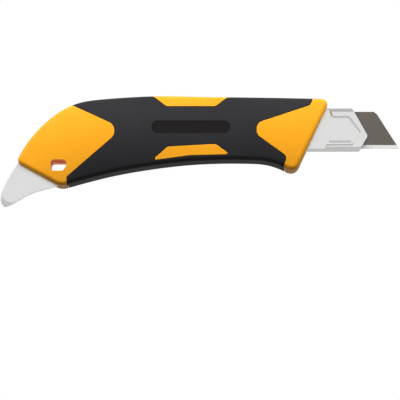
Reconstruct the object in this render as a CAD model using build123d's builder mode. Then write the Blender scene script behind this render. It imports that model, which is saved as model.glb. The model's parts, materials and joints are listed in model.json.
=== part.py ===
from build123d import *
from math import radians, sin, tan
import os

# Heavy-duty snap-off utility knife with a screw wheel lock and a steel tail pick.
# Millimetres. X runs from the blade (-X) to the tail (+X), Z is up with the cutting edge down,
# the lock wheel faces -Y and the back of the handle faces +Y.
# The origin lies on the flat of the back, level with the middle of the blade.
# Depths are counted from the back towards the wheel, so depth d is the plane Y = -d.

os.makedirs("parts", exist_ok=True)

# driving dimensions
BLADE_W = 18.0
BLADE_T = 0.5
BLADE_TIP = -100.0
BLADE_ANGLE = 58.0
SEGMENT = 10.45
HANDLE_T = 14.0
SHEET = 0.8
PICK_T = 1.5
GRIP_T = 1.6
CORNER_R = 2.6
GUARD_R = 4.0
TAIL_R = 7.0
BACK_RIM = 2.0
FRONT_RIM = 1.5
CORE_BACK_RIM = 1.6
CORE_FRONT_RIM = 1.0
WHEEL_D = 21.4
WHEEL_FACE = 21.0
WHEEL_X = 18.7
STUD_X = 0.6
STUD_R = 2.65
BOLT_R = 2.0
HEX_FLATS = 6.0

# fits and gaps
FIT = 0.05
GROOVE = 0.25
SLIDE_GAP = 0.2
TRAVEL_BACK = 22.0

# depths of the layers behind the back face
CHANNEL_BACK = 5.0
FLOOR = CHANNEL_BACK + SHEET
SLIDER_BACK = FLOOR + SLIDE_GAP
SLIDER_T = 1.2
BLADE_BACK = SLIDER_BACK + SLIDER_T + 0.02
BLADE_FRONT = BLADE_BACK + BLADE_T
LIP_BACK = BLADE_FRONT + 0.3
CHANNEL_FRONT = LIP_BACK + SHEET
PICK_BACK = FLOOR - PICK_T
SPLIT = HANDLE_T / 2
WASHER_BACK = HANDLE_T + 0.15
WASHER_FRONT = WASHER_BACK + 0.8
WHEEL_BACK = WASHER_FRONT + 0.3

# heights and lengths
CHANNEL_H = BLADE_W + 2.8
CHANNEL_REAR = 44.0
RIB_H = 0.5
RIB_RAMP = 0.8
PRESS_R = 1.6
PRESS_DEPTH = 0.4
SLOT_H = 8.8
BAY_H = BLADE_W + 0.6
BAY_REAR = 52.4
REACH = 140.0
RAIL_EDGE = 8.9
LANYARD = (63.2, -18.2)
LANYARD_W = 7.5
LANYARD_H = 5.3
TIP_CENTRE = (85.4, -31.0)
TIP_R = 4.7
GRIND_SLOPE = 5.2
GRIND_SKIN = 0.7
EDGE_BEVEL = 1.8
EDGE_SLOPE = 0.28
EDGE_LINE = ((82.8, -16.6), (89.9, -29.4))
STOP_BOX = (50.7, 58.0, -4.2, 3.2)
STOP_EASE = 0.7
STOP_ROOM = 2.6


def layer(depth):
    """Plane parallel to the back face at a depth, seen with X right and Z up."""
    return Plane.XZ.offset(depth)


def slab(sketch, start, end):
    """Solid between two depths with a side outline."""
    with BuildPart() as solid:
        with BuildSketch(layer(start)):
            add(sketch)
        extrude(amount=end - start)
    return solid.part


def rounded(points, radii):
    """Polygon whose corners are rounded one by one; a radius of 0 leaves a corner sharp."""
    with BuildSketch(Plane.XY) as shape:
        with BuildLine():
            Polyline(*points, close=True)
        make_face()
        for point, radius in zip(points, radii):
            if radius > 0:
                fillet(shape.vertices().sort_by_distance(Vector(*point))[0], radius)
    return shape.sketch


def box_sketch(x0, x1, z0, z1, radius=0.0):
    """Rectangle from its limits, with one corner radius."""
    corners = [(x0, z0), (x1, z0), (x1, z1), (x0, z1)]
    return rounded(corners, [radius] * 4)


# bare recess of the back and thumb notches of the spine
LABEL_L = 37.6
LABEL_H = 6.0
LABEL_Z = 0.3
LABEL_DEPTH = 0.7
INLAY_T = 0.4
NOTCHES = 8
NOTCH_PITCH = 4.0
NOTCH_R = 2.3
FIRST_NOTCH = (-28.5, 16.5)

# points that the spine and the belly of the handle pass through
SPINE = [(-66.9, 14.15), (-45, 14.7), (0, 15.4), (15, 15.6), (30, 15.0), (44, 13.9), (52.8, 12.5),
         (61.5, 8.8), (70.1, 2.2), (75.8, -3.9), (83.4, -16.5)]
BELLY = [(62.1, -28.25), (50, -24.8), (38.5, -21.9), (21.2, -18.7), (4, -16.5), (-13.3, -15.5),
         (-27.6, -15.5), (-36.3, -16.2), (-42, -17.9), (-46.5, -20.1)]
GUARD = (-50.5, -20.7)


def handle_form():
    """Handle without its openings: arched spine, round tail, belly with the finger guard."""
    with BuildPart() as form:
        with BuildSketch(layer(0)) as side:
            with BuildLine():
                spine = Spline(*SPINE)
                Line(spine @ 1, BELLY[0])
                belly = Spline(*BELLY)
                guard = Line(belly @ 1, GUARD)
                Line(guard @ 1, spine @ 0)
            make_face()
            for corner, radius in ((SPINE[0], CORNER_R), (SPINE[-1], CORNER_R), (GUARD, GUARD_R),
                                   (BELLY[0], TAIL_R)):
                fillet(side.vertices().sort_by_distance(Vector(*corner))[0], radius)
        extrude(amount=HANDLE_T)
        for depth, radius in ((0, BACK_RIM), (HANDLE_T, FRONT_RIM)):
            fillet(form.edges().filter_by(lambda e: abs(e.center().Y + depth) < 0.01), radius)
    return form.part


def core_form(skin):
    """Hard core that the grip lies on: the handle a skin thickness in, straight at both ends."""
    spine_points = [(x, z - skin) for x, z in SPINE[:8]]
    belly_points = [(x, z + skin) for x, z in BELLY]
    with BuildPart() as form:
        with BuildSketch(layer(skin)):
            with BuildLine():
                spine = Spline(*spine_points)
                rear = Line(spine @ 1, belly_points[0])
                belly = Spline(rear @ 1, *belly_points[1:])
                foot = Line(belly @ 1, (SPINE[0][0], GUARD[1] + skin))
                Line(foot @ 1, spine @ 0)
            make_face()
        extrude(amount=HANDLE_T - 2 * skin)
        for depth, radius in ((skin, CORE_BACK_RIM), (HANDLE_T - skin, CORE_FRONT_RIM)):
            rim = form.edges().filter_by(lambda e: abs(e.center().Y + depth) < 0.01)
            fillet(rim.filter_by(lambda e: e.length > 100), radius)
    return form.part


outer = handle_form()

# areas of the grip, as side outlines

def back_area(grow):
    """Back of the grip between the tail and front panels, less the two yellow windows."""
    tail_line = [(64, 14.5), (36.4, 1.7), (36.4, -3.9), (59.2, -24.0), (58.3, -34)]
    front_line = [(-43.0, -34), (-44.4, -18), (-45.8, -14.0), (-31.3, -3.4), (-31.3, 2.5), (-57, 11.1),
                  (-61, 20)]
    area = rounded(tail_line + front_line + [(64, 20)],
                   [0, 4.4, 4.4, 1.4, 0, 0, 3.4, 2.6, 3.4, 4.0, 2.4, 0, 0])
    upper = rounded([(20.4, 17), (11.9, 10.2), (-11.9, 10.2), (-20.7, 17)], [0, 3.0, 3.0, 0])
    lower = rounded([(11.1, -9.0), (-12, -7.7), (-19.4, -13.2), (0, -13.6), (19.3, -16.2)],
                    [3.0, 3.0, 0.9, 20, 0.9])
    with BuildSketch(Plane.XY) as shape:
        add(area)
        if grow:
            offset(amount=grow, kind=Kind.INTERSECTION, mode=Mode.REPLACE)
    with BuildSketch(Plane.XY) as windows:
        add(upper)
        add(lower)
        if grow:
            offset(amount=-grow, kind=Kind.INTERSECTION, mode=Mode.REPLACE)
    return shape.sketch - windows.sketch


def front_area(grow):
    """Two strips of the grip on the wheel side: along the spine and along the belly."""
    upper = rounded([(-61.5, 20), (-55.6, RAIL_EDGE), (57.5, RAIL_EDGE), (54, 20)], [0, 1.6, 2.5, 0])
    lower = rounded([(-43.0, -34), (-44.6, -20), (-48.3, -8.6), (33, -8.6), (59.0, -22.8), (57.9, -34)],
                    [0, 3, 2.2, 14, 2.0, 0])
    with BuildSketch(Plane.XY) as shape:
        add(upper)
        add(lower)
        if grow:
            offset(amount=grow, kind=Kind.INTERSECTION, mode=Mode.REPLACE)
    return shape.sketch


def grip_zone(grow):
    """Space taken by the grip: its back areas behind the mid plane, its strips in front of it."""
    return slab(back_area(grow), -1, SPLIT) + slab(front_area(grow), SPLIT, HANDLE_T + 1)


def lanyard_slot(grow):
    """Opening for a cord: flat top, the lower corner towards the blade bevelled."""
    half_w = LANYARD_W / 2 + grow
    half_h = LANYARD_H / 2 + grow
    x, z = LANYARD
    points = [(x - half_w, z + half_h), (x + half_w, z + half_h), (x + half_w, z - half_h),
              (x - half_w + 1.8, z - half_h), (x - half_w, z - 0.4)]
    return rounded(points, [1.6, 1.6, 1.0, 0.8, 0.8])


def pick_outline():
    """Rear plate and pick: under the slot it follows the tail, below it runs out to the hooked tip."""
    tail_points = [(62.4, 6.6), (69.6, 1.75), (75.3, -4.2), (80.6, -13.0)]
    hook_points = [(84.3, -19.1), (86.9, -23.3), (89.9, -29.4), (90.8, -33.0)]
    heel_points = [(83.3, -35.2), (73.5, -30.3), (65.2, -28.0), (61.0, -26.0)]
    with BuildSketch(Plane.XY) as face:
        with BuildLine():
            head = Line((CHANNEL_REAR + 0.3, 7.8), (57.5, 7.8))
            rear = Spline(head @ 1, *tail_points, tangents=((1, 0), (0.55, -0.83)))
            hook = Spline(rear @ 1, *hook_points, tangents=(rear % 1, (0.1, -1)))
            tip = Spline(hook @ 1, (90.5, -36.0), (88.2, -37.6), tangents=(hook % 1, (-1, 0.3)))
            heel = Spline(tip @ 1, *heel_points, tangents=(tip % 1, (-1, 0.6)))
            root = Line(heel @ 1, (CHANNEL_REAR + 0.3, -8.0))
            Line(root @ 1, head @ 0)
        make_face()
    return face.sketch


def tip_grind(face, side):
    """Crescent ground off one face of the pick's tip: what lies outside a shallow cone."""
    x, z = TIP_CENTRE
    near, far = face - side * GRIND_SKIN, face + side * GRIND_SKIN
    with BuildPart() as cut:
        add(slab(rounded([(92.6, -25.6), (80.3, -38.3), (92, -50), (104, -38)], [0] * 4), near, far))
        with BuildSketch(Plane.XY.offset(z)):
            with BuildLine():
                Polyline((x, -near), (x + TIP_R - GRIND_SLOPE * GRIND_SKIN, -near),
                         (x + TIP_R + GRIND_SLOPE * GRIND_SKIN, -far), (x, -far), close=True)
            make_face()
        revolve(axis=Axis((x, 0, z), (0, 1, 0)), mode=Mode.SUBTRACT)
    return cut.part


def edge_grind():
    """Wedge ground off the wheel side along the outer edge of the pick."""
    (x0, z0), (x1, z1) = EDGE_LINE
    along = Vector(x1 - x0, 0, z1 - z0).normalized()
    outward = Vector(z0 - z1, 0, x1 - x0).normalized()
    start = Vector(x0, -FLOOR, z0) - outward * EDGE_BEVEL
    with BuildPart() as cut:
        with BuildSketch(Plane(origin=start, x_dir=outward, z_dir=along)):
            with BuildLine():
                Polyline((0, 0), (6, -6 * EDGE_SLOPE), (6, 1), (0, 1), close=True)
            make_face()
        extrude(amount=REACH / 4, both=True)
    return cut.part


def stop_window(grow):
    """Rectangular window of the rear plate that the catch looks through."""
    x0, x1, z0, z1 = STOP_BOX
    return box_sketch(x0 - grow, x1 + grow, z0 - grow, z1 + grow, 0.6)


# black elastomer grip, one moulding over both sides
with BuildPart() as grip_overmould:
    add(outer)
    add(core_form(GRIP_T), mode=Mode.SUBTRACT)
    add(grip_zone(0), mode=Mode.INTERSECT)
    with BuildSketch(layer(0)):
        with Locations((0, LABEL_Z)):
            SlotOverall(LABEL_L, LABEL_H)
    extrude(amount=LABEL_DEPTH, mode=Mode.SUBTRACT)
    with BuildSketch(layer(SPLIT)):
        for step in range(NOTCHES):
            with Locations((FIRST_NOTCH[0] - NOTCH_PITCH * step, FIRST_NOTCH[1])):
                Circle(NOTCH_R)
    extrude(amount=SPLIT + 1, mode=Mode.SUBTRACT)

# bare inlay in the recess of the back
with BuildPart() as label_inlay:
    with BuildSketch(layer(LABEL_DEPTH - FIT - INLAY_T)):
        with Locations((0, LABEL_Z)):
            SlotOverall(LABEL_L - 4 * FIT, LABEL_H - 4 * FIT)
    extrude(amount=INLAY_T)

# yellow handle with rails, channel pocket, rear bay and lanyard slot
with BuildPart() as handle_body:
    add(outer)
    add(grip_zone(GROOVE) - core_form(GRIP_T + FIT), mode=Mode.SUBTRACT)
    half = CHANNEL_H / 2 + FIT
    add(slab(box_sketch(-REACH, CHANNEL_REAR + FIT, -half, half), CHANNEL_BACK - FIT, CHANNEL_FRONT + FIT),
        mode=Mode.SUBTRACT)
    add(slab(box_sketch(0, BAY_REAR, -BAY_H / 2, BAY_H / 2), FLOOR, CHANNEL_FRONT + FIT), mode=Mode.SUBTRACT)
    add(slab(box_sketch(-REACH, REACH, -SLOT_H / 2, SLOT_H / 2), FLOOR, HANDLE_T + 1), mode=Mode.SUBTRACT)
    rear_opening = box_sketch(BAY_REAR, REACH, -SLOT_H / 2, SLOT_H / 2)
    add(slab(rear_opening, PICK_BACK - FIT, FLOOR), mode=Mode.SUBTRACT)
    add(slab(pick_outline(), PICK_BACK - FIT, FLOOR + FIT), mode=Mode.SUBTRACT)
    add(slab(stop_window(STOP_EASE), PICK_BACK - STOP_ROOM, PICK_BACK), mode=Mode.SUBTRACT)
    rail_end = rounded([(63.6, 4.2), (65.6, 6.0), (70, 6.0), (70, 4.2)], [0] * 4)
    add(slab(rail_end, FLOOR + FIT, HANDLE_T + 1), mode=Mode.SUBTRACT)
    add(slab(lanyard_slot(0), -1, HANDLE_T + 1), mode=Mode.SUBTRACT)

# stainless rear plate that comes out as the pick, ground at its tip and outer edge
with BuildPart() as tail_pick:
    with BuildSketch(layer(PICK_BACK)):
        add(pick_outline())
    extrude(amount=PICK_T)
    add(tip_grind(PICK_BACK, 1), mode=Mode.SUBTRACT)
    add(tip_grind(FLOOR, -1), mode=Mode.SUBTRACT)
    add(edge_grind(), mode=Mode.SUBTRACT)
    add(slab(stop_window(0), PICK_BACK - 1, FLOOR + 1), mode=Mode.SUBTRACT)
    add(slab(lanyard_slot(0.3), PICK_BACK - 1, FLOOR + 1), mode=Mode.SUBTRACT)

# folded stainless channel: floor, two walls, two lips, pressed rib round the pointed nose
CHANNEL_NOSE = -86.0
FOLD_R = 1.1
LIP_GAP_Z = -0.15
LIP_CORNER_Z = 8.0
LIP_R = 1.2
PRESS_X = (-76.8, -66.4)
PRESS_Z = -6.5
with BuildPart() as blade_channel:
    mid = -(CHANNEL_BACK + CHANNEL_FRONT) / 2
    with BuildSketch(Plane.YZ.offset(CHANNEL_NOSE)):
        with Locations((mid, 0)):
            RectangleRounded(CHANNEL_FRONT - CHANNEL_BACK, CHANNEL_H, FOLD_R)
            RectangleRounded(LIP_BACK - FLOOR, CHANNEL_H - 2 * SHEET, FOLD_R / 3, mode=Mode.SUBTRACT)
        with Locations((-CHANNEL_FRONT, LIP_GAP_Z)):
            Rectangle(2.5 * SHEET, SLOT_H, mode=Mode.SUBTRACT)
    extrude(amount=CHANNEL_REAR - CHANNEL_NOSE)
    with BuildSketch(layer(LIP_BACK)):
        add(rounded([(-69.5, -5), (-73.8, -2.3), (-88, -2.3), (-88, -8), (-69.5, -8)], [0, 2, 0, 0, 0]))
    extrude(amount=SHEET)
    with BuildSketch(layer(CHANNEL_BACK)):
        add(rounded([(-66.4, 9.4), (-95, 9.4), (-95, -9.4), (-64.4, -9.4)], [0] * 4))
        panel_top = [(-40, 12), (-65.8, 12), (-67.6, 5.65), (-75.7, 5.65), (-81.1, -1.7)]
        panel_low = [(-77.6, -7.2), (-64.9, -7.2), (-62, -12), (-40, -12)]
        add(rounded(panel_top + panel_low, [0, 0, 1.6, 1.6, 1.2, 1.6, 1.6, 0, 0]), mode=Mode.SUBTRACT)
    extrude(amount=-RIB_H)
    rib_top = blade_channel.faces().sort_by(Axis.Y)[-1]
    rib_edges = rib_top.edges().filter_by(lambda e: e.center().X > -94)
    chamfer(rib_edges, RIB_RAMP, RIB_H * 0.9, reference=rib_top)
    nose = rounded([(60, 14), (-75.4, 14), (-84.9, -3.3), (-78.6, -14), (60, -14)], [0, 0, 1.6, 0, 0])
    add(slab(nose, 0, HANDLE_T), mode=Mode.INTERSECT)
    lip_corner = rounded([(-83, 4), (-78.9, 4), (-80.1, 6.4), (-83, 6.4)], [0] * 4)
    add(slab(lip_corner, LIP_BACK - SLIDE_GAP, CHANNEL_FRONT + 1), mode=Mode.SUBTRACT)
    lip_ends = blade_channel.edges().filter_by(Axis.Y)
    lip_ends = lip_ends.filter_by(lambda e: e.center().Y < -LIP_BACK and e.center().X < -76)
    fillet(lip_ends.filter_by(lambda e: abs(e.center().Z) < LIP_CORNER_Z), LIP_R)
    with BuildSketch(Plane.YZ.offset(PRESS_X[0])):
        with Locations((PRESS_R - PRESS_DEPTH - CHANNEL_BACK, PRESS_Z)):
            Circle(PRESS_R)
    extrude(amount=PRESS_X[1] - PRESS_X[0], mode=Mode.SUBTRACT)

# snap-off blade: slanted front, score lines on the wheel side, ground cutting edge
BLADE_REAR = 10.2
BLADE_CORNER = 1.2
SCORES = 8
SCORE_W = 0.4
SCORE_DEPTH = 0.12
GROUND_H = 1.8
GROUND_IN = 0.21
with BuildPart() as blade:
    slope = 1 / tan(radians(BLADE_ANGLE))
    top_x = BLADE_TIP + BLADE_W * slope
    low = -BLADE_W / 2
    with BuildSketch(layer(BLADE_BACK)):
        with BuildLine():
            Polyline((BLADE_REAR, -low), (BLADE_REAR, low), (BLADE_TIP, low),
                     (top_x - BLADE_CORNER * slope, -low - BLADE_CORNER),
                     (top_x + BLADE_CORNER * slope, -low), close=True)
        make_face()
        with Locations((STUD_X, 0)):
            Circle(STUD_R + SLIDE_GAP, mode=Mode.SUBTRACT)
    extrude(amount=BLADE_T)
    with BuildSketch(layer(BLADE_FRONT - SCORE_DEPTH)):
        for count in range(1, SCORES + 1):
            with Locations((BLADE_TIP + SEGMENT * count + BLADE_W / 2 * slope, 0)):
                Rectangle(BLADE_W / sin(radians(BLADE_ANGLE)) + 2, SCORE_W, rotation=BLADE_ANGLE)
    extrude(amount=1, mode=Mode.SUBTRACT)
    with BuildSketch(Plane.YZ.offset(BLADE_TIP - 1)):
        for face_y, into in ((-BLADE_BACK, -GROUND_IN), (-BLADE_FRONT, GROUND_IN)):
            with BuildLine():
                Polyline((face_y, low + GROUND_H), (face_y + into, low), (face_y - into, low), close=True)
            make_face()
    extrude(amount=REACH, mode=Mode.SUBTRACT)

# carrier of the blade: thin plate in the channel, block in the slot, rear arm
PLATE_X = (-7.0, STOP_BOX[0] - TRAVEL_BACK - 0.6)
PLATE_HALF = 8.4
BLOCK_X = 11.0
BLOCK_HALF = 3.9
BLOCK_FRONT = 12.6
ARM_DEPTH = 8.4
ARM_T = 2.0
NUT_R = 3.1
NUT_H = 5.0
with BuildPart() as slider_base:
    with BuildSketch(layer(SLIDER_BACK)):
        add(box_sketch(*PLATE_X, -PLATE_HALF, PLATE_HALF, 2.0))
    extrude(amount=SLIDER_T)
    with BuildSketch(layer(SLIDER_BACK)):
        add(box_sketch(BLOCK_X, PLATE_X[1], -BLOCK_HALF, BLOCK_HALF, 0.8))
    extrude(amount=BLOCK_FRONT - SLIDER_BACK)
    with BuildSketch(layer(ARM_DEPTH)):
        root = PLATE_X[1] - 2
        add(rounded([(root, BLOCK_HALF), (43.6, BLOCK_HALF), (48, -3), (root, -3)], [0, 0.5, 0.5, 0]))
    extrude(amount=ARM_T)
    with BuildSketch(layer(BLOCK_FRONT)):
        with Locations((WHEEL_X, 0)):
            Circle(NUT_R + FIT)
    extrude(amount=-NUT_H - SLIDE_GAP, mode=Mode.SUBTRACT)

# domed stud through the hole of the blade
STUD_H = 1.9
STUD_DOME = 0.8
with BuildPart() as blade_stud:
    with BuildSketch(layer(SLIDER_BACK + SLIDER_T)):
        with Locations((STUD_X, 0)):
            Circle(STUD_R)
    extrude(amount=STUD_H)
    fillet(blade_stud.edges().sort_by(Axis.Y)[0], STUD_DOME)

# brass nut in the block
with BuildPart() as clamp_nut:
    with BuildSketch(layer(BLOCK_FRONT - NUT_H - 3 * FIT)):
        with Locations((WHEEL_X, 0)):
            Circle(NUT_R)
            Circle(BOLT_R + FIT, mode=Mode.SUBTRACT)
    extrude(amount=NUT_H)

# keyed washer under the wheel
WASHER_R = 9.0
KEY_L = 12.0
KEY_GAP = 0.25
KEY_DEPTH = 0.9
with BuildPart() as thrust_washer:
    with BuildSketch(layer(WASHER_BACK)):
        with Locations((WHEEL_X, 0)):
            Circle(WASHER_R)
    extrude(amount=WASHER_FRONT - WASHER_BACK)
    with BuildSketch(layer(WASHER_BACK)):
        with Locations((WHEEL_X, 0)):
            RectangleRounded(KEY_L, SLOT_H - 2 * KEY_GAP, 1.0)
    extrude(amount=-KEY_DEPTH)
    with BuildSketch(layer(0)):
        with Locations((WHEEL_X, 0)):
            Circle(BOLT_R + 2 * SLIDE_GAP)
    extrude(amount=WHEEL_FACE, mode=Mode.SUBTRACT)

# springy ring with a click bump
RING_OUT = 7.5
RING_IN = 5.5
SPRING_BACK = WASHER_FRONT + 0.02
SPRING_T = 0.35
BUMP_R = 0.55
BUMP_L = 1.2
with BuildPart() as ratchet_spring:
    with BuildSketch(layer(SPRING_BACK)):
        with Locations((WHEEL_X, 0)):
            Circle(RING_OUT)
            Circle(RING_IN, mode=Mode.SUBTRACT)
    extrude(amount=SPRING_T)
    with BuildSketch(Plane.XY.offset(-(RING_OUT + RING_IN + BUMP_L) / 2)):
        with Locations((WHEEL_X, -SPRING_BACK - BUMP_R / 2)):
            Circle(BUMP_R)
    extrude(amount=BUMP_L)
    with BuildSketch(layer(0)):
        add(box_sketch(-REACH, REACH, -REACH, REACH))
    extrude(amount=SPRING_BACK, mode=Mode.SUBTRACT)

# toothed ring in the underside of the wheel
TEETH = 24
TOOTH_W = 0.9
TOOTH_DEPTH = 0.45
TOOTH_BACK = WASHER_FRONT + 1.05
RING_FRONT = TOOTH_BACK + 1.3
with BuildPart() as ratchet_ring:
    with BuildSketch(layer(TOOTH_BACK)):
        with Locations((WHEEL_X, 0)):
            Circle(RING_OUT)
            Circle(RING_IN, mode=Mode.SUBTRACT)
    extrude(amount=RING_FRONT - TOOTH_BACK)
    with BuildSketch(layer(TOOTH_BACK)):
        with Locations((WHEEL_X, 0)):
            with PolarLocations((RING_OUT + RING_IN) / 2, TEETH):
                Rectangle(RING_OUT - RING_IN + 1, TOOTH_W)
    extrude(amount=TOOTH_DEPTH, mode=Mode.SUBTRACT)

# ridged lock wheel: flat disc, fluted cone and rim, pocket for the bolt head
RIDGES = 32
DISC_R = 6.7
RIM_R = WHEEL_D / 2
RIM_FRONT = WHEEL_BACK + 3.9
RIM_BREAK = 0.4
FLUTE_W = 1.0
FLUTE_R = RIM_R - 0.45
HEAD_T = 2.8
HEAD_SEAT = WHEEL_FACE - HEAD_T - 0.2
HEX_TURN = 38
wheel_axis = Axis((WHEEL_X, 0, 0), (0, 1, 0))
with BuildPart() as flute:
    with BuildSketch(Plane.XY):
        with BuildLine():
            Polyline((WHEEL_X + DISC_R + 0.5, -WHEEL_FACE), (WHEEL_X + FLUTE_R, RIM_R - FLUTE_R - RIM_FRONT),
                     (WHEEL_X + FLUTE_R, -WHEEL_BACK), (WHEEL_X + RIM_R + 1, -WHEEL_BACK),
                     (WHEEL_X + RIM_R + 1, -WHEEL_FACE), close=True)
        make_face()
    extrude(amount=FLUTE_W / 2, both=True)
with BuildPart() as lock_wheel:
    with BuildSketch(Plane.XY):
        with BuildLine():
            Polyline((WHEEL_X, -WHEEL_BACK), (WHEEL_X + RIM_R - RIM_BREAK, -WHEEL_BACK),
                     (WHEEL_X + RIM_R, -WHEEL_BACK - RIM_BREAK), (WHEEL_X + RIM_R, -RIM_FRONT),
                     (WHEEL_X + DISC_R, 0.15 - WHEEL_FACE), (WHEEL_X + DISC_R - 0.2, -WHEEL_FACE),
                     (WHEEL_X, -WHEEL_FACE), close=True)
        make_face()
    revolve(axis=wheel_axis)
    add([flute.part.rotate(wheel_axis, 360 / RIDGES * turn) for turn in range(RIDGES)], mode=Mode.SUBTRACT)
    with BuildSketch(layer(WHEEL_BACK)):
        with Locations((WHEEL_X, 0)):
            Circle(RING_OUT + 2 * FIT)
            Circle(RING_IN - 2 * FIT, mode=Mode.SUBTRACT)
    extrude(amount=RING_FRONT + FIT - WHEEL_BACK, mode=Mode.SUBTRACT)
    with BuildSketch(layer(WHEEL_BACK)):
        with Locations((WHEEL_X, 0)):
            Circle(BOLT_R + FIT)
    extrude(amount=WHEEL_FACE, mode=Mode.SUBTRACT)
    with BuildSketch(layer(HEAD_SEAT - 2 * FIT)):
        with Locations((WHEEL_X, 0)):
            RegularPolygon(HEX_FLATS / 2 + FIT, 6, major_radius=False, rotation=HEX_TURN)
    extrude(amount=HEAD_T + 1, mode=Mode.SUBTRACT)

# brass bolt: hexagon head in the wheel, shank down to the nut
BOLT_END = 7.8
with BuildPart() as wheel_bolt:
    with BuildSketch(layer(HEAD_SEAT)):
        with Locations((WHEEL_X, 0)):
            RegularPolygon(HEX_FLATS / 2, 6, major_radius=False, rotation=HEX_TURN)
    extrude(amount=HEAD_T)
    with BuildSketch(layer(BOLT_END)):
        with Locations((WHEEL_X, 0)):
            Circle(BOLT_R)
    extrude(amount=HEAD_SEAT - BOLT_END)

# yellow catch: flange under the rear plate, stem in its window, bar across the middle
CATCH = (51.9, 56.6, -3.9, 2.6)
CATCH_TOP = FLOOR + 0.2
FLANGE_BACK = PICK_BACK - 1.0
FLANGE_T = 0.9
BAR = (52.6, 55.9, -1.6, -0.1)
BAR_H = 1.0
with BuildPart() as rear_stop:
    with BuildSketch(layer(FLANGE_BACK)):
        add(stop_window(STOP_EASE - 0.3))
    extrude(amount=FLANGE_T)
    with BuildSketch(layer(FLANGE_BACK)):
        add(box_sketch(*CATCH, 0.4))
    extrude(amount=CATCH_TOP - FLANGE_BACK)
    with BuildSketch(layer(CATCH_TOP)):
        add(box_sketch(*BAR, 0.2))
    extrude(amount=BAR_H)

# black pad round the bar of the catch, domed on its upper half
PAD_T = 0.8
DOME_BACK = CATCH_TOP + 0.5
DOME_T = 0.9
DOME_R = 0.35
with BuildPart() as stop_pad:
    x0, x1, z0, z1 = BAR
    with BuildSketch(layer(CATCH_TOP + 0.02)):
        add(box_sketch(*CATCH, 0.5))
        add(box_sketch(x0 - FIT, x1 + FIT, z0 - FIT, z1 + FIT, 0.2), mode=Mode.SUBTRACT)
    extrude(amount=PAD_T)
    with BuildSketch(layer(DOME_BACK)):
        add(rounded([(52.2, 2.5), (56.3, 2.5), (56.3, 0.1), (52.2, 0.1)], [0.4, 0.4, 1.1, 1.1]))
    extrude(amount=DOME_T)
    fillet(stop_pad.faces().sort_by(Axis.Y)[0].edges(), DOME_R)

for name, piece in {
    "handle_body": handle_body, "grip_overmould": grip_overmould, "label_inlay": label_inlay,
    "blade_channel": blade_channel, "tail_pick": tail_pick, "blade": blade, "slider_base": slider_base,
    "blade_stud": blade_stud, "clamp_nut": clamp_nut, "thrust_washer": thrust_washer,
    "ratchet_spring": ratchet_spring, "ratchet_ring": ratchet_ring, "lock_wheel": lock_wheel,
    "wheel_bolt": wheel_bolt, "rear_stop": rear_stop, "stop_pad": stop_pad,
}.items():
    piece.part.label = name
    export_step(piece.part, f"parts/{name}.step")
    box = piece.part.bounding_box()
    print(name, len(piece.part.solids()), round(piece.part.volume, 1), piece.part.is_valid,
          [round(v, 2) for v in (box.min.X, box.max.X, box.min.Y, box.max.Y, box.min.Z, box.max.Z)])
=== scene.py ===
"""Studio scene of a heavy-duty snap-off utility knife, built on its CAD frame.

Metres. X runs from the blade (-X) to the tail (+X), Z is up, the lock wheel faces -Y and the back +Y.
"""

import json
import logging
import math
from dataclasses import dataclass, field
from enum import Enum
from typing import Optional

import bpy
import numpy as np
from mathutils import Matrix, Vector

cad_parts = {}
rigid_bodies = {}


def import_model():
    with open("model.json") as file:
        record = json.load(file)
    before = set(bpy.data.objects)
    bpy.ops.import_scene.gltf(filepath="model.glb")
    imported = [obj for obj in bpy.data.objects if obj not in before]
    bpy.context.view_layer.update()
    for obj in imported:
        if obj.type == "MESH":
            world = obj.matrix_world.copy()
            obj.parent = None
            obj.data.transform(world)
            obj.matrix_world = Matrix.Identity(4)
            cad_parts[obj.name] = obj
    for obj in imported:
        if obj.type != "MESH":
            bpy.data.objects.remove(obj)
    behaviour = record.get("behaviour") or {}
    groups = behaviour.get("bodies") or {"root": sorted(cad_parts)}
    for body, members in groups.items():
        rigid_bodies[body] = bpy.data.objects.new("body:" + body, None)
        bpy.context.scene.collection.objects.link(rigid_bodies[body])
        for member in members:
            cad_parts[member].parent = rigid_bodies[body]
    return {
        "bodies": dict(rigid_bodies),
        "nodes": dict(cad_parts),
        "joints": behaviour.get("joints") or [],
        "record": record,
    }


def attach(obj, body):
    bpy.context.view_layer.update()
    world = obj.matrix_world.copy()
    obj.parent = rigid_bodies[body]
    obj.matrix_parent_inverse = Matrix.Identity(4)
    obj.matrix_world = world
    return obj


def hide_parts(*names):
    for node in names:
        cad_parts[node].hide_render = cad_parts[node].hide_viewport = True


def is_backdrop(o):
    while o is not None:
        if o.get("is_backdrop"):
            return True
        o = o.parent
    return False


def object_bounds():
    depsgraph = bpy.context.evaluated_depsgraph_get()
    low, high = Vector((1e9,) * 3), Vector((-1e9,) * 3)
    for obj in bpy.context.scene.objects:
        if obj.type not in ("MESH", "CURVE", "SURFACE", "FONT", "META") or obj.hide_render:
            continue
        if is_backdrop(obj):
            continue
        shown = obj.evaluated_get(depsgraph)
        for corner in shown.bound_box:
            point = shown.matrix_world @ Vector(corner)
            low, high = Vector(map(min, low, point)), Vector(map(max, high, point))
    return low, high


LOG = logging.getLogger("knife")
MM = 0.001
Colour = tuple[float, float, float]
Triple = tuple[float, float, float]
Pair = tuple[float, float]
FULL_TURN = 2.0 * math.pi

# middle line of the handle: where it starts to bend down, and its drop per square metre behind that
TAIL_BEND = 15.0 * MM
TAIL_DROP = 4.5

NOISE_RANGE = (0.3, 0.7)
BEVEL_SAMPLES = 6
EDGE_LEAN = (0.75, 0.98)
LARGEST_ROUNDING = 0.45
FLOOR_GAP = 0.2 * MM


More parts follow.
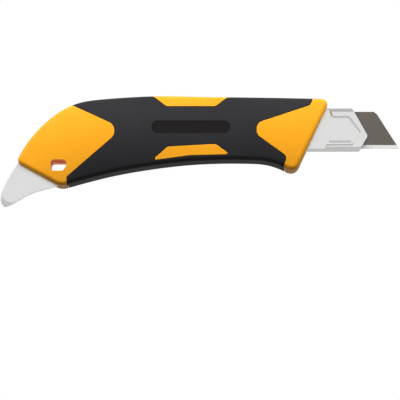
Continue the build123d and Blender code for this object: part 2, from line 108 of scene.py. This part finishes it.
class Slot(Enum):
    """Material slots of the record."""

    YELLOW = "yellow_plastic"
    GRIP = "black_grip"
    LABEL = "label_black"
    STAINLESS = "stainless"
    BLADE = "blade_black"
    SLIDER = "slider_dark"
    WHEEL = "wheel_black"
    BRASS = "brass"
    SPRING = "spring_steel"


class Body(Enum):
    """Moving bodies that the new pieces ride on."""

    SLIDER = "slider"
    WHEEL = "wheel"


class NodeTree:
    """Node tree of a material or a world, with short helpers to add and join nodes."""

    def __init__(self, owner: bpy.types.Material | bpy.types.World) -> None:
        """Take over the tree of its owner.

        Args:
            owner: Material or world that the nodes belong to.
        """
        owner.use_nodes = True
        self.tree = owner.node_tree

    def add(self, kind: str, **values: object) -> bpy.types.Node:
        """Add a node and set its properties or input values.

        Args:
            kind: Node type.
            values: Property names or input names (spaces as underscores) and their values.

        Returns:
            The new node.
        """
        node = self.tree.nodes.new(kind)
        for key, value in values.items():
            if hasattr(node, key):
                setattr(node, key, value)
            else:
                node.inputs[key.replace("_", " ")].default_value = value
        return node

    def link(self, source: bpy.types.NodeSocket, target: bpy.types.NodeSocket) -> None:
        """Join an output to an input.

        Args:
            source: Output socket.
            target: Input socket.
        """
        self.tree.links.new(source, target)

    def span(self, source: bpy.types.NodeSocket, low: float, high: float,
             start: float = 0.0, end: float = 1.0) -> bpy.types.NodeSocket:
        """Map a value from one range to another, clamped.

        Args:
            source: Value to map.
            low: Result at the start of the range.
            high: Result at the end of the range.
            start: Start of the source range.
            end: End of the source range.

        Returns:
            The mapped value.
        """
        node = self.add("ShaderNodeMapRange", From_Min=start, From_Max=end, To_Min=low, To_Max=high)
        self.link(source, node.inputs["Value"])
        return node.outputs["Result"]

    def spread(self, noise: bpy.types.NodeSocket, low: float, high: float) -> bpy.types.NodeSocket:
        """Map the usual range of a noise value to another range, clamped.

        Args:
            noise: Noise value.
            low: Result at the start of the usual range.
            high: Result at its end.

        Returns:
            The mapped value.
        """
        return self.span(noise, low, high, *NOISE_RANGE)

    def maths(self, operation: str, first: bpy.types.NodeSocket,
              second: bpy.types.NodeSocket | float) -> bpy.types.NodeSocket:
        """Work out one sum of two values.

        Args:
            operation: Name of the sum.
            first: First value.
            second: Second value, from a node or fixed.

        Returns:
            The result.
        """
        node = self.add("ShaderNodeMath", operation=operation)
        self.link(first, node.inputs[0])
        if isinstance(second, float):
            node.inputs[1].default_value = second
        else:
            self.link(second, node.inputs[1])
        return node.outputs["Value"]

    def mix(self, factor: bpy.types.NodeSocket, first: Colour, second: Colour) -> bpy.types.NodeSocket:
        """Blend two colours by a factor.

        Args:
            factor: Share of the second colour.
            first: Colour at factor 0.
            second: Colour at factor 1.

        Returns:
            The blended colour.
        """
        node = self.add("ShaderNodeMix", data_type="RGBA")
        node.inputs[6].default_value = (*first, 1.0)
        node.inputs[7].default_value = (*second, 1.0)
        self.link(factor, node.inputs[0])
        return node.outputs[2]


class Shader(NodeTree):
    """Material with a principled surface, read in object space."""

    def __init__(self, name: str) -> None:
        """Start a new material.

        Args:
            name: Name of the material.
        """
        self.material = bpy.data.materials.new(name)
        super().__init__(self.material)
        self.surface = self.tree.nodes["Principled BSDF"]
        coordinates = self.add("ShaderNodeTexCoord")
        self.coords = coordinates.outputs["Object"]
        self.facing = coordinates.outputs["Normal"]

    def noise(self, scale: float, detail: float, stretch: Triple = (1.0, 1.0, 1.0)) -> bpy.types.NodeSocket:
        """Noise in object space, stretched along the axes.

        Args:
            scale: Cells per metre.
            detail: Number of finer layers.
            stretch: Scale factor of each axis.

        Returns:
            The factor output.
        """
        mapping = self.add("ShaderNodeMapping")
        mapping.inputs["Scale"].default_value = stretch
        self.link(self.coords, mapping.inputs["Vector"])
        node = self.add("ShaderNodeTexNoise", Scale=scale, Detail=detail)
        self.link(mapping.outputs["Vector"], node.inputs["Vector"])
        return node.outputs["Fac"]

    def over(self, factor: bpy.types.NodeSocket, under: bpy.types.NodeSocket,
             top: Colour) -> bpy.types.NodeSocket:
        """Lay a colour over another by a factor.

        Args:
            factor: Share of the top colour.
            under: Colour underneath.
            top: Colour on top.

        Returns:
            The blended colour.
        """
        node = self.add("ShaderNodeMix", data_type="RGBA")
        self.link(factor, node.inputs[0])
        self.link(under, node.inputs[6])
        node.inputs[7].default_value = (*top, 1.0)
        return node.outputs[2]

    def relief(self, height: bpy.types.NodeSocket, depth: float, round_edge: float,
               crown: float = 0.0) -> None:
        """Give the surface a fine relief, softly rounded edges and, if asked, a crowned side.

        Args:
            height: Relief from 0 to 1.
            depth: Depth of the relief in metres.
            round_edge: Radius by which the edges look rounded, in metres.
            crown: Radius of the crown across the handle in metres, or 0 for a flat side.
        """
        bevel = self.add("ShaderNodeBevel", samples=BEVEL_SAMPLES, Radius=round_edge)
        normal = bevel.outputs["Normal"]
        if crown > 0.0:
            swell = self.add("ShaderNodeBump", Strength=1.0, Distance=1.0)
            self.link(self.crown_height(crown), swell.inputs["Height"])
            self.link(normal, swell.inputs["Normal"])
            normal = swell.outputs["Normal"]
        bump = self.add("ShaderNodeBump", Strength=1.0, Distance=depth)
        self.link(height, bump.inputs["Height"])
        self.link(normal, bump.inputs["Normal"])
        self.link(bump.outputs["Normal"], self.surface.inputs["Normal"])

    def edge(self, radius: float) -> bpy.types.NodeSocket:
        """Share of edge at a point: how far the rounded normal leans away from the true one.

        Args:
            radius: Distance from an edge that counts, in metres.

        Returns:
            0 on flat faces, up to 1 on an edge.
        """
        rounded = self.add("ShaderNodeBevel", samples=BEVEL_SAMPLES, Radius=radius)
        true = self.add("ShaderNodeNewGeometry")
        dot = self.add("ShaderNodeVectorMath", operation="DOT_PRODUCT")
        self.link(rounded.outputs["Normal"], dot.inputs[0])
        self.link(true.outputs["Normal"], dot.inputs[1])
        return self.span(dot.outputs["Value"], 1.0, 0.0, *EDGE_LEAN)

    def crown_height(self, radius: float) -> bpy.types.NodeSocket:
        """Height of the crowned side: minus the squared distance from the handle's middle line over 2 radii.

        The middle line is level along the grip and bends down along the tail as a parabola.

        Args:
            radius: Radius of the crown in metres.

        Returns:
            The height in metres.
        """
        axes = self.add("ShaderNodeSeparateXYZ")
        self.link(self.coords, axes.inputs["Vector"])
        behind = self.maths("MAXIMUM", self.maths("SUBTRACT", axes.outputs["X"], TAIL_BEND), 0.0)
        drop = self.maths("MULTIPLY", self.maths("MULTIPLY", behind, behind), TAIL_DROP)
        offset = self.maths("ADD", axes.outputs["Z"], drop)
        return self.maths("MULTIPLY", self.maths("MULTIPLY", offset, offset), -0.5 / radius)


@dataclass(frozen=True)
class Moulding:
    """Moulded plastic or elastomer: fine grain, slightly uneven colour and roughness, and edges painted
    lighter, partly as abrasion from use and partly as painted highlight.
    """

    slot: Slot
    colour: Colour
    shade: Colour
    rough: Pair
    grain: float
    depth: float
    specular: float = 0.5
    round_edge: float = 0.25 * MM
    crown: float = 0.0
    # edges painted lighter: painted highlight along the rims together with abrasion from use; the edge colour
    # is that of the painted highlight
    wear_and_highlight_strength: float = 0.3
    least_wear_and_highlight: float = 0.4
    wear_and_highlight_width: float = 0.45 * MM
    edge: Optional[Colour] = None
    edge_gain: float = 1.5
    cloud: float = 55.0

    def build(self) -> bpy.types.Material:
        """Build the material.

        Returns:
            The new material.
        """
        shader = Shader(self.slot.value)
        cloud = shader.noise(self.cloud, 3.0)
        mottled = shader.mix(shader.spread(cloud, 0.0, 1.0), self.colour, self.shade)
        fine = shader.noise(self.grain, 4.0)
        # lighter colour along the edges, varied by the grain: painted highlight together with abrasion from
        # use
        wear_and_highlight_noise = shader.spread(fine, self.least_wear_and_highlight * self.wear_and_highlight_strength, self.wear_and_highlight_strength)
        edge_highlight_and_wear = shader.maths("MULTIPLY", shader.edge(self.wear_and_highlight_width), wear_and_highlight_noise)
        light = self.edge or tuple(min(1.0, self.edge_gain * part) for part in self.shade)
        shader.link(shader.over(edge_highlight_and_wear, mottled, light), shader.surface.inputs["Base Color"])
        shader.link(shader.spread(fine, *self.rough), shader.surface.inputs["Roughness"])
        shader.relief(fine, self.depth, self.round_edge, self.crown)
        shader.surface.inputs["Specular IOR Level"].default_value = self.specular
        return shader.material


@dataclass(frozen=True)
class Metal:
    """Metal with drawn or ground grain along one axis."""

    slot: Slot
    colour: Colour
    shade: Colour
    rough: Pair
    stretch: Triple = (0.04, 1.0, 1.0)
    depth: float = 0.00015 * MM
    metallic: float = 1.0
    round_edge: float = 0.15 * MM
    grain: float = 4000.0
    cloud: float = 60.0

    def build(self) -> bpy.types.Material:
        """Build the material.

        Returns:
            The new material.
        """
        return self.base().material

    def base(self) -> Shader:
        """Build the grain that every metal shares.

        Returns:
            The shader, ready for additions.
        """
        shader = Shader(self.slot.value)
        grain = shader.noise(self.grain, 3.0, self.stretch)
        cloud = shader.noise(self.cloud, 2.0)
        mottled = shader.mix(shader.spread(cloud, 0.0, 1.0), self.colour, self.shade)
        shader.link(mottled, shader.surface.inputs["Base Color"])
        shader.link(shader.spread(grain, *self.rough), shader.surface.inputs["Roughness"])
        shader.relief(grain, self.depth, self.round_edge)
        shader.surface.inputs["Metallic"].default_value = self.metallic
        return shader


@dataclass(frozen=True)
class CoatedBlade(Metal):
    """Dark coated blade steel with a bright ground cutting edge; on the wheel side its snap lines are drawn
    as thin dark lines of painted groove shade.
    """

    edge_z: float = -7.25 * MM
    bright: Colour = (0.86, 0.86, 0.85)
    tip_x: float = -100.0 * MM
    tip_z: float = -9.0 * MM
    segment: float = 10.45 * MM
    lean: float = 1.0 / math.tan(math.radians(58.0))
    # dark colour of the snap lines: painted shade of their grooves
    groove_shade: Colour = (0.05, 0.048, 0.045)
    score_width: Pair = (0.012, 0.03)
    wheel_side: Pair = (-0.6, -0.4)
    edge_blur: float = 0.05 * MM
    edge_metallic: float = 0.2

    def build(self) -> bpy.types.Material:
        """Build the material: coating with lines of painted groove shade, ending at the ground bevel.

        Returns:
            The new material.
        """
        shader = self.base()
        axes = shader.add("ShaderNodeSeparateXYZ")
        shader.link(shader.coords, axes.inputs["Vector"])
        coated = shader.surface.inputs["Base Color"].links[0].from_socket
        # the snap lines get a dark colour: painted shade of their grooves
        with_groove_shade = shader.over(self.score_lines(shader, axes), coated, self.groove_shade)
        low, high = self.edge_z - self.edge_blur, self.edge_z + self.edge_blur
        bare = shader.span(axes.outputs["Z"], 1.0, 0.0, low, high)
        shader.link(shader.over(bare, with_groove_shade, self.bright), shader.surface.inputs["Base Color"])
        shader.link(shader.span(bare, self.metallic, self.edge_metallic), shader.surface.inputs["Metallic"])
        return shader.material

    def score_lines(self, shader: Shader, axes: bpy.types.Node) -> bpy.types.NodeSocket:
        """Thin slanted lines one segment apart: the distance from the nearest whole number of segments.

        Args:
            shader: Shader of the blade.
            axes: Node that gives the object's X, Y and Z.

        Returns:
            1 on a line and 0 between the lines.
        """
        rise = shader.maths("MULTIPLY", shader.maths("SUBTRACT", axes.outputs["Z"], self.tip_z), self.lean)
        along = shader.maths("SUBTRACT", shader.maths("SUBTRACT", axes.outputs["X"], self.tip_x), rise)
        count = shader.maths("ADD", shader.maths("DIVIDE", along, self.segment), 0.5)
        away = shader.maths("ABSOLUTE", shader.maths("SUBTRACT", shader.maths("FRACT", count, 0.0), 0.5), 0.0)
        line = shader.span(away, 1.0, 0.0, *self.score_width)
        facing = shader.add("ShaderNodeSeparateXYZ")
        shader.link(shader.facing, facing.inputs["Vector"])
        return shader.maths("MULTIPLY", line, shader.span(facing.outputs["Y"], 1.0, 0.0, *self.wheel_side))


FINISHES: tuple[Moulding | Metal, ...] = (
    # the yellow's pale edge colour is mostly painted highlight along its rims, with some abrasion
    Moulding(Slot.YELLOW, (0.92, 0.375, 0.009), (0.95, 0.40, 0.012), (0.42, 0.5), 2500.0, 0.003 * MM, 0.3,
             crown=90.0 * MM, wear_and_highlight_strength=0.75, edge=(1.0, 0.62, 0.14)),
    Moulding(Slot.GRIP, (0.027, 0.026, 0.029), (0.031, 0.030, 0.033), (0.5, 0.6), 3500.0, 0.006 * MM, 0.06,
             crown=45.0 * MM),
    Moulding(Slot.LABEL, (0.007, 0.0055, 0.006), (0.009, 0.007, 0.0075), (0.3, 0.38), 800.0, 0.002 * MM,
             0.15),
    Metal(Slot.STAINLESS, (0.86, 0.865, 0.86), (0.885, 0.89, 0.885), (0.28, 0.36)),
    CoatedBlade(Slot.BLADE, (0.185, 0.166, 0.142), (0.21, 0.19, 0.163), (0.34, 0.46)),
    Moulding(Slot.SLIDER, (0.045, 0.045, 0.047), (0.055, 0.055, 0.057), (0.4, 0.5), 1500.0, 0.004 * MM),
    Moulding(Slot.WHEEL, (0.013, 0.013, 0.015), (0.018, 0.018, 0.02), (0.32, 0.42), 2000.0, 0.004 * MM, 0.3),
    Metal(Slot.BRASS, (0.94, 0.83, 0.6), (0.96, 0.86, 0.64), (0.3, 0.4)),
    Metal(Slot.SPRING, (0.62, 0.62, 0.64), (0.68, 0.68, 0.7), (0.25, 0.35)),
)


def grid_mesh(name: str, points: np.ndarray, close_rows: bool, close_columns: bool) -> bpy.types.Object:
    """Mesh of a parametric surface given as a grid of points.

    Args:
        name: Name of the object.
        points: Array of rows by columns by 3, in metres.
        close_rows: Join the last row to the first.
        close_columns: Join the last column to the first.

    Returns:
        The new object, with smooth faces.
    """
    rows, columns = points.shape[:2]
    index = np.arange(rows * columns).reshape(rows, columns)
    if close_rows:
        index = np.vstack([index, index[:1]])
    if close_columns:
        index = np.hstack([index, index[:, :1]])
    quads = np.stack([index[:-1, :-1], index[:-1, 1:], index[1:, 1:], index[1:, :-1]], axis=-1).reshape(-1, 4)
    mesh = bpy.data.meshes.new(name)
    mesh.vertices.add(rows * columns)
    mesh.vertices.foreach_set("co", points.reshape(-1).astype(np.float32))
    mesh.loops.add(quads.size)
    mesh.loops.foreach_set("vertex_index", quads.reshape(-1).astype(np.int32))
    mesh.polygons.add(len(quads))
    mesh.polygons.foreach_set("loop_start", np.arange(0, quads.size, 4, dtype=np.int32))
    mesh.polygons.foreach_set("use_smooth", np.ones(len(quads), dtype=bool))
    mesh.update(calc_edges=True)
    mesh.validate()
    piece = bpy.data.objects.new(name, mesh)
    bpy.context.scene.collection.objects.link(piece)
    return piece


def rounded_profile(corners: np.ndarray, radii: np.ndarray, steps: int) -> np.ndarray:
    """Closed profile whose corners are rounded by quadratic curves.

    Each corner c with neighbours p and n becomes (1-t)^2 a + 2t(1-t) c + t^2 b, where a and b lie on the
    two sides at the corner's radius.

    Args:
        corners: Array of points by 2.
        radii: Rounding of each corner, in the same units.
        steps: Points per corner.

    Returns:
        Array of points by 2.
    """
    before = np.roll(corners, 1, axis=0) - corners
    after = np.roll(corners, -1, axis=0) - corners
    reach_before = np.minimum(radii, LARGEST_ROUNDING * np.linalg.norm(before, axis=1))[:, None]
    reach_after = np.minimum(radii, LARGEST_ROUNDING * np.linalg.norm(after, axis=1))[:, None]
    first = corners + before / np.linalg.norm(before, axis=1)[:, None] * reach_before
    last = corners + after / np.linalg.norm(after, axis=1)[:, None] * reach_after
    t = np.linspace(0.0, 1.0, steps)[None, :, None]
    curve = (1 - t) ** 2 * first[:, None] + 2 * t * (1 - t) * corners[:, None] + t ** 2 * last[:, None]
    return curve.reshape(-1, 2)


def hexagon(angle: np.ndarray, apothem: float, turn: float) -> np.ndarray:
    """Radius of a hexagon in polar form: the apothem over the cosine of the angle from the nearest flat.

    Args:
        angle: Polar angles.
        apothem: Half the width across the flats.
        turn: Angle of one corner.

    Returns:
        The radius at each angle.
    """
    sixth = math.pi / 3.0
    from_flat = np.mod(angle - turn, sixth) - sixth / 2.0
    return apothem / np.cos(from_flat)


@dataclass
class LockWheel:
    """Ridged lock wheel with a hexagon pocket, and the brass bolt in it; sizes in millimetres."""

    centre: Pair = (18.7, 0.0)
    back: float = 15.25
    face: float = 21.0
    rim: float = 10.69
    disc: float = 6.7
    ridges: int = 32
    ridge_depth: float = 0.5
    ridge_power: float = 1.6
    ridge_steps: int = 12
    flute_inset: float = 0.55
    flute_foot: float = 0.5
    flute_fade: float = 0.5
    bore: float = 2.05
    seat: Pair = (5.4, 7.6)
    seat_floor: float = 17.3
    pocket: float = 3.05
    pocket_floor: float = 17.85
    pocket_band: Pair = (2.5, 3.2)
    pocket_play: float = 0.05
    least_round: float = 0.02
    corner_steps: int = 6
    flats: float = 6.0
    turn: float = math.radians(38.0)
    head_steps: int = 96
    shank_ends: Pair = (7.8, 17.99)
    shank_radius: float = 1.99
    shank_rows: int = 160
    shank_steps: int = 32
    thread_depth: float = 0.3
    pitch: float = 0.7

    def place(self, radius: np.ndarray, depth: np.ndarray, angle: np.ndarray) -> np.ndarray:
        """Cylinder coordinates about the wheel's axis, turned into the frame.

        Args:
            radius: Distance from the axis in millimetres.
            depth: Depth behind the back plane in millimetres.
            angle: Polar angle in the X-Z plane.

        Returns:
            Points in metres.
        """
        x = self.centre[0] + radius * np.cos(angle)
        z = self.centre[1] + radius * np.sin(angle)
        return np.stack([x, -depth, z], axis=-1) * MM

    def section(self) -> np.ndarray:
        """Closed half section of the wheel with rounded corners and a point halfway along each step.

        Each row of the table is a corner: its radius, its depth and its rounding.

        Returns:
            Array of points by 2: radius and depth.
        """
        inner, outer = self.seat
        top = self.face
        table = np.array([
            (self.bore, self.back, 0.0),
            (inner, self.back, 0.0),
            (inner, self.seat_floor, 0.0),
            (outer, self.seat_floor, 0.0),
            (outer, self.back, 0.0),
            (self.rim - 0.3, self.back, 0.3),
            (self.rim, self.back + 0.4, 0.3),
            (self.rim, 18.9, 0.7),
            (self.rim - 0.6, 19.5, 0.7),
            (self.disc + 0.75, 20.55, 0.4),
            (self.disc + 0.2, 20.45, 0.25),
            (self.disc - 0.1, top - 0.05, 0.5),
            (3.6, top - 0.25, 0.1),
            (self.pocket, top - 0.25, 0.08),
            (self.pocket, self.pocket_floor, 0.0),
            (self.bore, self.pocket_floor, 0.0),
        ])
        points = rounded_profile(table[:, :2], table[:, 2] + self.least_round, self.corner_steps)
        halfway = (points + np.roll(points, -1, axis=0)) / 2
        return np.stack([points, halfway], axis=1).reshape(-1, 2)

    def wheel(self) -> bpy.types.Object:
        """Revolved section; the ridges press the rim and the cone in along the section's normal.

        The radius of the pocket's points is that of a hexagon; the others are turned as they are. The
        pressing is the ridge depth times a raised cosine of the ridge count times the angle, to a power
        that leaves rounded ribs between narrow flutes.

        Returns:
            The new piece.
        """
        section = self.section()
        along = np.roll(section, -1, axis=0) - np.roll(section, 1, axis=0)
        length = np.linalg.norm(along, axis=1)[:, None] + 1e-9
        normal = np.stack([along[:, 1], -along[:, 0]], axis=1) / length
        angle = np.linspace(0.0, FULL_TURN, self.ridges * self.ridge_steps, endpoint=False)
        radius, depth = section[:, 0], section[:, 1]
        outside = np.clip((radius - self.disc - self.flute_inset) / self.flute_fade, 0.0, 1.0)
        above = np.clip((depth - self.back - self.flute_foot) / self.flute_fade, 0.0, 1.0)
        wave = (0.5 - 0.5 * np.cos(self.ridges * angle)) ** self.ridge_power
        press = -self.ridge_depth * (outside * above)[:, None] * wave[None, :]
        nearest, farthest = self.pocket_band
        pocket = (radius > nearest) & (radius < farthest) & (depth > self.seat_floor)
        hex_radius = hexagon(angle, self.flats / 2.0 + self.pocket_play, self.turn)
        base = np.where(pocket[:, None], hex_radius[None, :], radius[:, None])
        ridged = base + press * normal[:, :1]
        points = self.place(ridged, depth[:, None] + press * normal[:, 1:], angle[None, :])
        return grid_mesh("lock_wheel_form", points, True, True)

    def head(self) -> bpy.types.Object:
        """Hexagon bar with a bevelled end: rings of the hexagon's polar radius, closed by a point.

        Each ring is a share of the hexagon's radius and a depth.

        Returns:
            The new piece.
        """
        angle = self.turn + np.linspace(0.0, FULL_TURN, self.head_steps, endpoint=False)
        bar = hexagon(angle, self.flats / 2.0, self.turn)
        rings = np.array([
            (0.0, 18.0), (1.0, 18.0), (1.0, 20.45), (0.985, 20.6), (0.93, 20.74), (0.86, 20.8), (0.0, 20.8)])
        radius = rings[:, :1] * bar[None, :]
        points = self.place(radius, np.broadcast_to(rings[:, 1:], radius.shape), angle[None, :])
        return grid_mesh("wheel_bolt_head", points, False, True)

    def shank(self) -> bpy.types.Object:
        """Threaded shank: a cylinder whose radius follows a triangle wave along the screw line.

        Its first and last rows close the ends by a point.

        Returns:
            The new piece.
        """
        angle = np.linspace(0.0, FULL_TURN, self.shank_steps, endpoint=False)
        depth = np.linspace(*self.shank_ends, self.shank_rows)
        turns = depth[:, None] / self.pitch + angle[None, :] / FULL_TURN
        tooth = np.abs(np.mod(turns, 1.0) * 2.0 - 1.0)
        radius = self.shank_radius - self.thread_depth * tooth
        radius[[0, -1]] = 0.0
        depth[1], depth[-2] = depth[0], depth[-1]
        points = self.place(radius, np.broadcast_to(depth[:, None], radius.shape), angle[None, :])
        return grid_mesh("wheel_bolt_shank", points, False, True)

    def build(self, materials: dict[str, bpy.types.Material]) -> None:
        """Build the wheel and its bolt and put them in place of their CAD nodes.

        Args:
            materials: Finishes by slot name.
        """
        finish_piece(self.wheel(), Slot.WHEEL, Body.WHEEL, materials, "lock_wheel")
        finish_piece(self.head(), Slot.BRASS, Body.WHEEL, materials, "wheel_bolt")
        finish_piece(self.shank(), Slot.BRASS, Body.WHEEL, materials, None)


@dataclass
class BladeStud:
    """Black stud through the hole of the blade, with a domed end; sizes in millimetres."""

    centre: Pair = (0.6, 0.0)
    radius: float = 2.65
    back: float = 7.2
    front: float = 9.1
    rim: float = 0.75
    dome_steps: int = 20
    turn_steps: int = 64
    sharp: float = 60.0

    def form(self) -> bpy.types.Object:
        """Revolved half profile: a straight side, then a quarter ellipse up to the middle of the dome.

        Returns:
            The new piece.
        """
        lift = np.linspace(0.0, FULL_TURN / 4.0, self.dome_steps)
        radius = np.concatenate([[0.0, self.radius], self.radius * np.cos(lift)])
        depth = np.concatenate([[self.back, self.back], self.front - self.rim + self.rim * np.sin(lift)])
        angle = np.linspace(0.0, FULL_TURN, self.turn_steps, endpoint=False)
        x = self.centre[0] + radius[:, None] * np.cos(angle)
        z = self.centre[1] + radius[:, None] * np.sin(angle)
        y = np.broadcast_to(-depth[:, None], x.shape)
        return grid_mesh("blade_stud_form", np.stack([x, y, z], axis=-1) * MM, False, True)

    def build(self, materials: dict[str, bpy.types.Material]) -> None:
        """Build the stud in place of its CAD node.

        Args:
            materials: Finishes by slot name.
        """
        finish_piece(self.form(), Slot.WHEEL, Body.SLIDER, materials, "blade_stud", self.sharp)


def finish_piece(piece: bpy.types.Object, slot: Slot, body: Body, materials: dict[str, bpy.types.Material],
                 node: Optional[str], sharp: float = 35.0) -> None:
    """Dress a new piece, make it ride on a body and put it in place of a CAD node.

    Args:
        piece: The new piece, at rest in the frame.
        slot: Its material slot.
        body: The body it moves with.
        materials: Finishes by slot name.
        node: CAD node that it stands for, if any.
        sharp: Angle in degrees above which an edge stays sharp.
    """
    piece.data.materials.append(materials[slot.value])
    piece.data.set_sharp_from_angle(angle=math.radians(sharp))
    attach(piece, body.value)
    if node is not None:
        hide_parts(node)
    LOG.info("built %s on %s", piece.name, body.value)


@dataclass(frozen=True)
class Lamp:
    """Soft rectangular lamp aimed at the knife, which metal doesn't mirror."""

    name: str
    place: Triple
    size: Pair
    watts: float

    def build(self) -> None:
        """Build the lamp."""
        data = bpy.data.lights.new(self.name, "AREA")
        data.shape = "RECTANGLE"
        data.size, data.size_y = self.size
        data.energy = self.watts
        lamp = bpy.data.objects.new(self.name, data)
        bpy.context.scene.collection.objects.link(lamp)
        lamp.location = self.place
        lamp.visible_glossy = False
        lamp.rotation_euler = (-Vector(self.place)).to_track_quat("-Z", "Y").to_euler()


LAMPS = (
    Lamp("top", (0.0, 0.0, 0.55), (0.9, 0.6), 1.2),
    Lamp("back", (0.0, 0.12, 0.10), (0.55, 0.05), 0.66),
    Lamp("front", (0.0, -0.12, 0.10), (0.55, 0.05), 0.66),
)


@dataclass
class Studio:
    """White room with three soft lamps, a pale floor that only shows from above, and the camera.

    The light of the sky, of the horizon in reflections and of its zenith change over ranges of the view's
    height, from -1 straight down to 1 straight up.
    """

    floor_z: float
    floor_size: float = 3.0
    floor_shade: float = 0.1
    floor_seen: float = 0.3
    floor_rough: float = 0.7
    floor_specular: float = 0.1
    near_tone: float = 0.36
    far_tone: float = 0.9
    tone_range: Pair = (0.15, 1.0)
    metal_tone: float = 0.4
    ground: float = 0.14
    sky: float = 0.36
    sky_range: Pair = (-0.5, 0.4)
    under: float = 0.03
    horizon: float = 1.0
    horizon_range: Pair = (-0.06, 0.12)
    zenith: float = 0.35
    zenith_range: Pair = (0.55, 0.95)
    aim: Triple = (-4.4 * MM, -7.5 * MM, -33.9 * MM)
    distance: float = 1.5
    width: float = 191.6 * MM
    azimuth: float = 180.0
    elevation: float = -9.0
    clip_end: float = 20.0

    def build(self) -> None:
        """Build the floor, the world, the lamps and the camera."""
        self.floor()
        self.world()
        for lamp in LAMPS:
            lamp.build()
        self.camera()

    def floor(self) -> None:
        """Flat floor under the knife, pale to the camera and dark to other rays; clear from below."""
        size = self.floor_size
        mesh = bpy.data.meshes.new("floor")
        corners = [(-size, -size), (size, -size), (size, size), (-size, size)]
        mesh.from_pydata([(x, y, self.floor_z) for x, y in corners], [], [(0, 1, 2, 3)])
        plane = bpy.data.objects.new("floor", mesh)
        bpy.context.scene.collection.objects.link(plane)
        shader = Shader("floor")
        path = shader.add("ShaderNodeLightPath")
        shade = shader.mix(path.outputs["Is Camera Ray"], (self.floor_shade,) * 3, (self.floor_seen,) * 3)
        shader.link(shade, shader.surface.inputs["Base Color"])
        shader.link(self.floor_glow(shader, path), shader.surface.inputs["Emission Strength"])
        shader.surface.inputs["Emission Color"].default_value = (1.0, 1.0, 1.0, 1.0)
        shader.surface.inputs["Roughness"].default_value = self.floor_rough
        shader.surface.inputs["Specular IOR Level"].default_value = self.floor_specular
        clear = shader.add("ShaderNodeBsdfTransparent")
        side = shader.add("ShaderNodeNewGeometry")
        blend = shader.add("ShaderNodeMixShader")
        shader.link(side.outputs["Backfacing"], blend.inputs[0])
        shader.link(shader.surface.outputs["BSDF"], blend.inputs[1])
        shader.link(clear.outputs["BSDF"], blend.inputs[2])
        shader.link(blend.outputs["Shader"], shader.tree.nodes["Material Output"].inputs["Surface"])
        mesh.materials.append(shader.material)
        plane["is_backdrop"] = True

    def floor_glow(self, shader: Shader, path: bpy.types.Node) -> bpy.types.NodeSocket:
        """Pale tone of the floor: to the camera it rises away from the knife, in reflections it is even.

        Args:
            shader: Shader of the floor.
            path: Light path node of that shader.

        Returns:
            The strength of the tone.
        """
        away = shader.add("ShaderNodeVectorMath", operation="LENGTH")
        shader.link(shader.coords, away.inputs[0])
        tone = shader.span(away.outputs["Value"], self.near_tone, self.far_tone, *self.tone_range)
        seen = shader.maths("MULTIPLY", path.outputs["Is Camera Ray"], tone)
        mirrored = shader.maths("MULTIPLY", path.outputs["Is Glossy Ray"], self.metal_tone)
        return shader.maths("ADD", seen, mirrored)

    def world(self) -> None:
        """White to the camera, a bright horizon to reflections, and a soft sky above to all else."""
        world = bpy.data.worlds.new("studio")
        bpy.context.scene.world = world
        nodes = NodeTree(world)
        path = nodes.add("ShaderNodeLightPath")
        coords = nodes.add("ShaderNodeTexCoord")
        axes = nodes.add("ShaderNodeSeparateXYZ")
        nodes.link(coords.outputs["Generated"], axes.inputs["Vector"])
        height = axes.outputs["Z"]
        sky = nodes.span(height, self.ground, self.sky, *self.sky_range)
        rise = nodes.span(height, self.under, self.horizon, *self.horizon_range)
        horizon = nodes.maths("MULTIPLY", rise, nodes.span(height, 1.0, self.zenith, *self.zenith_range))
        glossy = nodes.add("ShaderNodeMix", data_type="FLOAT")
        nodes.link(path.outputs["Is Glossy Ray"], glossy.inputs[0])
        nodes.link(sky, glossy.inputs[2])
        nodes.link(horizon, glossy.inputs[3])
        seen = nodes.add("ShaderNodeMix", data_type="FLOAT")
        nodes.link(path.outputs["Is Camera Ray"], seen.inputs[0])
        nodes.link(glossy.outputs[0], seen.inputs[2])
        seen.inputs[3].default_value = 1.0
        background = nodes.tree.nodes["Background"]
        background.inputs["Color"].default_value = (1.0, 1.0, 1.0, 1.0)
        nodes.link(seen.outputs[0], background.inputs["Strength"])

    def camera(self) -> None:
        """Long lens at the viewing angle of the photograph's larger picture."""
        data = bpy.data.cameras.new("camera")
        data.lens = data.sensor_width * self.distance / self.width
        data.clip_end = self.clip_end
        camera = bpy.data.objects.new("camera", data)
        bpy.context.scene.collection.objects.link(camera)
        turn = math.radians(self.azimuth)
        rise = math.radians(self.elevation)
        away = Vector((math.sin(turn) * math.cos(rise), -math.cos(turn) * math.cos(rise), math.sin(rise)))
        camera.location = Vector(self.aim) + away * self.distance
        camera.rotation_euler = (-away).to_track_quat("-Z", "Y").to_euler()
        bpy.context.scene.camera = camera


@dataclass
class Knife:
    """The CAD frame with its finishes."""

    frame: dict
    materials: dict[str, bpy.types.Material] = field(default_factory=dict)

    def dress(self) -> None:
        """Build the finishes and give every CAD node that of its slot."""
        for finish in FINISHES:
            self.materials[finish.slot.value] = finish.build()
        for entry in self.frame["record"]["subparts"]:
            node = self.frame["nodes"][entry["node"]]
            node.data.materials.clear()
            node.data.materials.append(self.materials[entry["material_slot"]])
            LOG.info("dressed %s with %s", entry["node"], entry["material_slot"])


def main() -> None:
    """Load the frame, dress it, add the finer pieces and set the stage just under the frame's lowest point.
    """
    logging.basicConfig(level=logging.INFO, format="%(message)s")
    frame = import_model()
    before = [list(corner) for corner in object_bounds()]
    knife = Knife(frame)
    knife.dress()
    LockWheel().build(knife.materials)
    BladeStud().build(knife.materials)
    Studio(before[0][2] - FLOOR_GAP).build()
    bpy.context.scene.view_settings.view_transform = "Standard"


if __name__ == "__main__":
    main()
